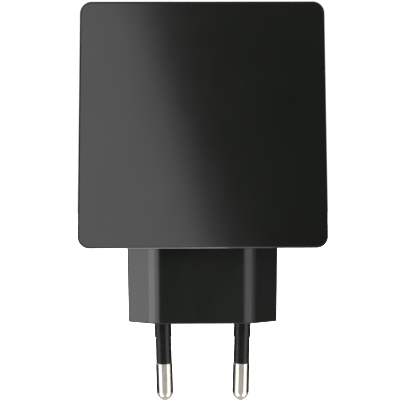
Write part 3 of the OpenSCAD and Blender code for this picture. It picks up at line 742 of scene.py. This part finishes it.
def plug_block():
    """The neck with its rounded plug face, its flange, and the pins' bores and seats."""
    levels = [(depth, neck_outline(0.0, inset)) for inset, depth in rounded_edge(NECK_EDGE_R)]
    levels.append((FLANGE_Z + FLANGE[2] / 2, neck_outline(NECK_DRAFT)))
    neck = loft("plug_neck", levels)
    flange = prism("flange", rectangle(FLANGE[0], FLANGE[1], FLANGE_R), (FLANGE_Z, FLANGE_TOP))
    combine(neck, [flange], "UNION")
    cuts = [prism("cut_room", neck_outline(-NECK_WALL, 0.0, *NECK_ROOM_R), (RETAINER_Z, FLANGE_TOP + PAST))]
    bore, shoulder = PIN_CORE_R + BORE_GAP, PIN_SHOULDER_R + BORE_GAP
    for side in (-1, 1):
        cuts.append(revolve("cut_pin", [
            (0, -PAST), (COLLAR_SEAT_R + SEAT_LIP + PAST, -PAST), (COLLAR_SEAT_R, SEAT_LIP),
            (COLLAR_SEAT_R, COLLAR_SEAT_H), (bore, COLLAR_SEAT_H), (bore, SHOULDER_Z), (shoulder, SHOULDER_Z),
            (shoulder, RETAINER_Z + PAST), (0, RETAINER_Z + PAST)], at_pin(side)))
    combine(neck, cuts)
    fit(shade(neck), "charger", "case_plastic", "plug_block", look=NECK)


def plug_pin(side, name):
    """The turned pin: a round end, the core in the sleeve, the shoulder in the neck and the tail."""
    low, high = PIN_SHOULDER
    end = arc((0, PIN_R - PIN_LENGTH), PIN_R, -90, 0, TIP_STEPS)
    end[0] = (0, -PIN_LENGTH)
    pin = revolve(f"pin_metal_{name}", end + [
        (PIN_R, -PIN_INSULATED - PIN_EASE), (PIN_R - PIN_EASE, -PIN_INSULATED), (PIN_CORE_R, -PIN_INSULATED),
        (PIN_CORE_R, low), (PIN_SHOULDER_R - SHOULDER_EASE, low), (PIN_SHOULDER_R, low + SHOULDER_EASE),
        (PIN_SHOULDER_R, high - SHOULDER_EASE), (PIN_SHOULDER_R - SHOULDER_EASE, high), (PIN_CORE_R, high),
        (PIN_CORE_R, PIN_TAIL_Z - TAIL_EASE), (PIN_CORE_R - TAIL_EASE, PIN_TAIL_Z), (0, PIN_TAIL_Z)],
        at_pin(side))
    fit(shade(pin), f"pin_{name}_unit", "pin_metal", f"pin_{name}")


def pin_sleeve(side, name):
    """The moulded sleeve and its collar, both slightly tapered; radii are (lower end, upper end)."""
    lower, upper = SLEEVE_R
    top = COLLAR_SEAT_H - GAP
    share = (PIN_INSULATED - COLLAR_L) / (PIN_INSULATED + top)
    at_collar = lower + (upper - lower) * share
    collar_edge = [(COLLAR_R[0] - inset, -COLLAR_L + up) for inset, up in COLLAR_EDGE]
    sleeve = revolve(f"sleeve_{name}", [
        (PIN_CORE_R, -PIN_INSULATED), (lower - SLEEVE_EASE, -PIN_INSULATED),
        (lower, -PIN_INSULATED + SLEEVE_EASE), (at_collar, -COLLAR_L), *collar_edge,
        (COLLAR_R[1], top), (PIN_CORE_R, top)], at_pin(side), closed=True)
    fit(shade(sleeve), f"pin_{name}_unit", "sleeve_plastic", f"pin_sleeve_{name}")


# ---- the pieces ---------------------------------------------------------------------------------

front_cover()
rear_cover()
rating_label()
port_panel()
light_pipe()
for number, port_x in enumerate(PORT_X, 1):
    port_shell(number, port_x)
    port_tongue(number, port_x)
    port_contacts(number, port_x)
plug_block()
for side, name in ((-1, "left"), (1, "right")):
    plug_pin(side, name)
    pin_sleeve(side, name)

# ---- stage, camera and light --------------------------------------------------------------------

FLOOR_R, FLOOR_GAP = 4.0, 0.05 * MM
floor_mesh = bmesh.new()
bmesh.ops.create_circle(floor_mesh, cap_ends=True, segments=ROUND_STEPS, radius=FLOOR_R)
floor = put("floor", floor_mesh)
floor.location.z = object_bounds()[0].z - FLOOR_GAP
paper = surface("floor_paper", (0.88, 0.88, 0.88), (0.9, 0.9, 0.9), (0.8, 0.9), (0.5, 0.01))
floor.data.materials.append(paper)
floor.visible_glossy = False
floor.visible_diffuse = False
floor.visible_shadow = False

# level, a little to the left of the middle and turned back towards it, with a slight roll
CAMERA_AT, CAMERA_TURN = (-3.11, -269, 29.04), (90, 0.18, -0.549)
CAMERA_LENS, CAMERA_SENSOR, CAMERA_CLIP = 101.0, 36.0, (0.01, 20)

camera_data = bpy.data.cameras.new("camera")
camera_data.lens = CAMERA_LENS
camera_data.sensor_width = CAMERA_SENSOR
camera_data.clip_start, camera_data.clip_end = CAMERA_CLIP
camera = bpy.data.objects.new("camera", camera_data)
scene.collection.objects.link(camera)
camera.location = [c * MM for c in CAMERA_AT]
camera.rotation_euler = [math.radians(angle) for angle in CAMERA_TURN]
scene.camera = camera

scene.view_settings.view_transform = "Standard"

# light linking: the pieces that some lamps are kept for
port_pieces = [f"port_{what}_{k}" for what in ("shell", "tongue", "contacts") for k in range(1, 5)]
groups = {}
for name, members in (("covers", ["front_shell", "rear_shell"]), ("front_only", ["front_shell"]),
                      ("neck_only", ["plug_neck"]), ("sleeves", ["sleeve_left", "sleeve_right"]),
                      ("metal_pins", ["pin_metal_left", "pin_metal_right"]), ("floor_only", ["floor"]),
                      ("ports", port_pieces)):
    groups[name] = bpy.data.collections.new(name)
    for member in members:
        groups[name].objects.link(bpy.data.objects[member])

MIDDLE = (0, 0, 0.03)


def lamp(name, azimuth, elevation, distance, size, radiance, only=None, aim=MIDDLE):
    """A soft box of a given radiance; azimuth 0 is in front, 90 to the right."""
    data = bpy.data.lights.new(name, "AREA")
    data.shape = "RECTANGLE"
    data.size, data.size_y = size
    data.energy = radiance * math.pi * size[0] * size[1]
    soft_box = bpy.data.objects.new(name, data)
    scene.collection.objects.link(soft_box)
    a, e = math.radians(azimuth), math.radians(elevation)
    away = Vector((math.sin(a) * math.cos(e), -math.cos(a) * math.cos(e), math.sin(e)))
    soft_box.location = Vector(aim) + away * distance
    soft_box.rotation_mode = "QUATERNION"
    soft_box.rotation_quaternion = away.to_track_quat("Z", "Y")
    soft_box.visible_camera = False
    if only is not None:
        soft_box.light_linking.receiver_collection = groups[only]
    return soft_box


RING_DISTANCE, RING_HEIGHT, RING_ELEVATION = 0.6, 0.6, 3


def ring_lamp(name, azimuth, spread, radiance, only):
    """A tall soft box at the height of the part, seen from it over a spread of degrees."""
    width = 2 * RING_DISTANCE * math.tan(math.radians(spread / 2))
    lamp(name, azimuth, RING_ELEVATION, RING_DISTANCE, (width, RING_HEIGHT), radiance, only=only)


# the broad box in front, to the left: its slanted right edge makes the fade across the front face
KEY_AT, KEY_TURN = (-0.2101, -0.714, 0.043), (90, -15.7, 0)
key = lamp("key", azimuth=0, elevation=0, distance=0.7, size=(0.40, 0.62), radiance=2.06, only="front_only")
key.location = KEY_AT
key.rotation_mode = "XYZ"
key.rotation_euler = [math.radians(angle) for angle in KEY_TURN]
# the neck: on the left a row of boxes, the middle one brightest; on the right a softer, dimmer pair
ring_lamp("neck_side", azimuth=-84, spread=26, radiance=2.6, only="neck_only")
ring_lamp("neck_left", azimuth=-57, spread=30, radiance=4.2, only="neck_only")
ring_lamp("neck_fill", azimuth=-33, spread=18, radiance=2.3, only="neck_only")
ring_lamp("neck_right", azimuth=38, spread=56, radiance=0.60, only="neck_only")
ring_lamp("neck_right_core", azimuth=33, spread=32, radiance=1.22, only="neck_only")
ring_lamp("neck_cheek", azimuth=84, spread=30, radiance=0.12, only="neck_only")
# the pins: a strip on each side of the sleeves, wider ones and a grey card for the bare metal
ring_lamp("sleeve_left_strip", azimuth=-73, spread=46, radiance=1.2, only="sleeves")
ring_lamp("sleeve_right_strip", azimuth=57, spread=42, radiance=1.3, only="sleeves")
for name, azimuth in (("metal_left_strip", -57), ("metal_right_strip", 58)):
    lamp(name, azimuth, elevation=-18, distance=0.62, size=(0.52, 1.3), radiance=1.8, only="metal_pins")
ring_lamp("card", azimuth=0, spread=60, radiance=0.53, only="metal_pins")
# two narrow beams from close below draw a line on the lower front edge, dimmer to the right; they lean
# a little away from the front face, which would mirror them in views from above
BEAM_DISTANCE, BEAM_DEPTH, BEAM_SPREAD = 0.042, 0.03, 24
for name, elevation, x, width, radiance in (("under_left", -97, -10, 35, 0.22),
                                            ("under", -95, -2, 42, 0.085)):
    beam = lamp(name, 0, elevation, BEAM_DISTANCE, (width * MM, BEAM_DEPTH), radiance,
                only="front_only", aim=(x * MM, FRONT_Y * MM, CASE_Z0 * MM))
    beam.data.shape = "ELLIPSE"
    beam.data.spread = math.radians(BEAM_SPREAD)
# what the other sides see
ring_lamp("case_right", azimuth=104, spread=40, radiance=0.9, only="covers")
ring_lamp("case_left", azimuth=-104, spread=40, radiance=0.9, only="covers")
for name, azimuth in (("ports_left", -50), ("ports_back", 140)):
    lamp(name, azimuth, elevation=52, distance=0.5, size=(0.5, 0.4), radiance=1.3, only="ports")
lamp("back", azimuth=214, elevation=34, distance=0.8, size=(0.7, 0.45), radiance=1.6)
# a broad even fill from the front and the back that leaves no reflection of its own
for name, azimuth in (("fill_front", 0), ("fill_back", 180)):
    fill = lamp(name, azimuth, elevation=10, distance=1.0, size=(1.3, 1.3), radiance=0.7)
    fill.visible_glossy = False
lamp("over_floor", azimuth=0, elevation=90, distance=2.0, size=(8.0, 8.0), radiance=5.0, only="floor_only")

# ---- world --------------------------------------------------------------------------------------

# grey by height, in shares from straight down to straight up: a pale floor, a dark band at the horizon,
# a soft ceiling
AROUND = [(0.10, 0.7), (0.33, 0.45), (0.40, 0.0), (0.57, 0.0), (0.66, 0.35), (0.82, 0.35), (0.95, 0.06)]
SEEN = 1.05  # the white that the camera sees instead


def studio_world():
    """The camera sees white; everything else is lit and mirrored by AROUND."""
    world = bpy.data.worlds.new("studio")
    scene.world = world
    world.use_nodes = True
    tree = world.node_tree
    tree.nodes.clear()
    link = tree.links.new
    place = tree.nodes.new("ShaderNodeTexCoord")
    split = tree.nodes.new("ShaderNodeSeparateXYZ")
    link(place.outputs["Generated"], split.inputs["Vector"])
    height = tree.nodes.new("ShaderNodeMapRange")
    height.inputs["From Min"].default_value = -1.0
    height.inputs["From Max"].default_value = 1.0
    link(split.outputs["Z"], height.inputs["Value"])
    ramp = tree.nodes.new("ShaderNodeValToRGB")
    while len(ramp.color_ramp.elements) < len(AROUND):
        ramp.color_ramp.elements.new(0.5)
    for element, (position, value) in zip(ramp.color_ramp.elements, AROUND):
        element.position = position
        element.color = (value, value, value, 1)
    link(height.outputs["Result"], ramp.inputs["Fac"])
    around = tree.nodes.new("ShaderNodeBackground")
    link(ramp.outputs["Color"], around.inputs["Color"])
    seen = tree.nodes.new("ShaderNodeBackground")
    seen.inputs["Color"].default_value = (1, 1, 1, 1)
    seen.inputs["Strength"].default_value = SEEN
    path = tree.nodes.new("ShaderNodeLightPath")
    mix = tree.nodes.new("ShaderNodeMixShader")
    out = tree.nodes.new("ShaderNodeOutputWorld")
    link(path.outputs["Is Camera Ray"], mix.inputs["Fac"])
    link(around.outputs["Background"], mix.inputs[1])
    link(seen.outputs["Background"], mix.inputs[2])
    link(mix.outputs["Shader"], out.inputs["Surface"])


studio_world()
